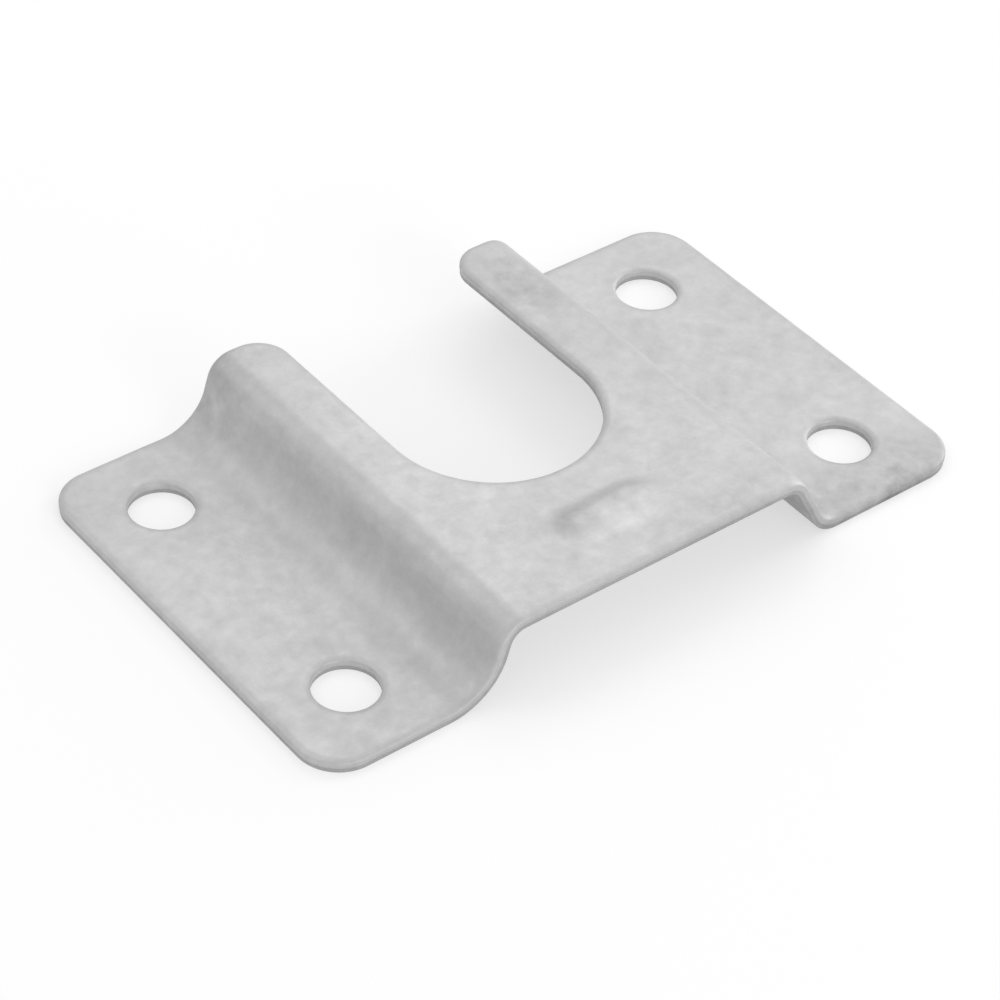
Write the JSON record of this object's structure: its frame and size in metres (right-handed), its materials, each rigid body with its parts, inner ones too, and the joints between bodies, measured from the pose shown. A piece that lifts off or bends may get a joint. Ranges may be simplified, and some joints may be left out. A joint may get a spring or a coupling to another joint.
{
  "type": "wardrobe rail bracket",
  "caption": "Pressed sheet-steel bracket: feet with screw holes either side of a raised plate, whose open U slot takes the end of a round wardrobe rail.",
  "frame": {"origin": "middle of the four screw holes, on the plane that the feet stand on", "axes": "+X along the bracket's length, from the narrower foot to the wider one; +Y towards the slot's open end; +Z from the feet to the raised plate, out of the surface it is screwed to"},
  "size_m": [0.09, 0.054, 0.0106],
  "materials": {
    "zinc_steel": "dull zinc plating, pale grey with a faint mottle"
  },
  "bodies": {
    "root": {"bracket_plate": "zinc_steel"}
  },
  "joints": []
}
